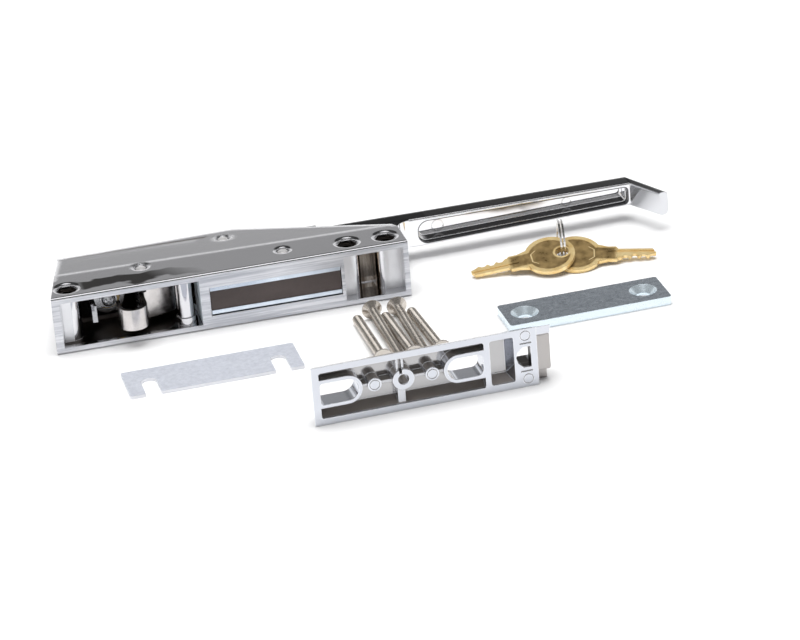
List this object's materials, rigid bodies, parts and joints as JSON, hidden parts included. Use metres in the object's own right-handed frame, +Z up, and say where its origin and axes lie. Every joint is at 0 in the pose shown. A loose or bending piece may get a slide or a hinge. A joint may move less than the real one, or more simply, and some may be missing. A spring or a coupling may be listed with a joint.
{
  "type": "door handle latch",
  "caption": "Surface door latch with a swinging grab handle, spring catch, cylinder lock and magnet, with its strike, plates, screws and keys.",
  "frame": {"origin": "axis of the end screw hole on the lower side face of the housing", "axes": "+X along the housing towards the handle's grip, +Y from the open front to the back, +Z up from the lower side face, along the screw holes"},
  "size_m": [0.3029, 0.1697, 0.0286],
  "materials": {
    "housing": "polished, brushed front",
    "handle": "polished",
    "handle_pin": "bright",
    "latch_catch": "nickel plated",
    "catch_pin": "bright",
    "catch_spring": "spring wire",
    "magnet": "dark ferrite",
    "upper_pole_plate": "zinc plated",
    "lower_pole_plate": "zinc plated",
    "magnet_pin": "bright",
    "lock_barrel": "polished",
    "lock_plug": "satin",
    "lock_cam": "zinc plated",
    "cam_washer": "bright",
    "cam_screw": "bright",
    "lock_clip": "spring steel",
    "strike": "as cast, plated",
    "armature_plate": "zinc plated",
    "shim": "matt",
    "mounting_screws": "nickel plated",
    "key_1": "polished rims",
    "key_2": "polished rims",
    "key_ring": "polished"
  },
  "bodies": {
    "root": {"housing": "housing", "handle_pin": "handle_pin", "catch_pin": "catch_pin", "catch_spring": "catch_spring", "magnet": "magnet", "upper_pole_plate": "upper_pole_plate", "lower_pole_plate": "lower_pole_plate", "magnet_pin": "magnet_pin", "lock_barrel": "lock_barrel", "lock_clip": "lock_clip", "strike": "strike", "armature_plate": "armature_plate", "shim": "shim", "mounting_screws": "mounting_screws", "key_1": "key_1", "key_2": "key_2", "key_ring": "key_ring"},
    "handle_body": {"handle": "handle"},
    "catch_body": {"latch_catch": "latch_catch"},
    "lock_body": {"lock_plug": "lock_plug", "lock_cam": "lock_cam", "cam_washer": "cam_washer", "cam_screw": "cam_screw"}
  },
  "joints": [
    {"name": "handle_hinge", "type": "hinge", "parent": "root", "child": "handle_body", "pos_m": [0.0796, 0.0337, 0.0143], "axis": [0, 0, 1], "range_deg": [0, 10], "stiffness_Nm_per_rad": 1.5},
    {"name": "catch_hinge", "type": "hinge", "parent": "root", "child": "catch_body", "pos_m": [0.0365, 0.0104, 0.0143], "axis": [0, 0, 1], "range_deg": [-25, 0]},
    {"name": "lock_hinge", "type": "hinge", "parent": "root", "child": "lock_body", "pos_m": [0.01985, 0.0252, 0.0143], "axis": [0, 1, 0], "range_deg": [0, 90]}
  ],
  "couplings": [
    {"joint": "catch_hinge", "follows": "handle_hinge", "ratio": -2.5}
  ]
}
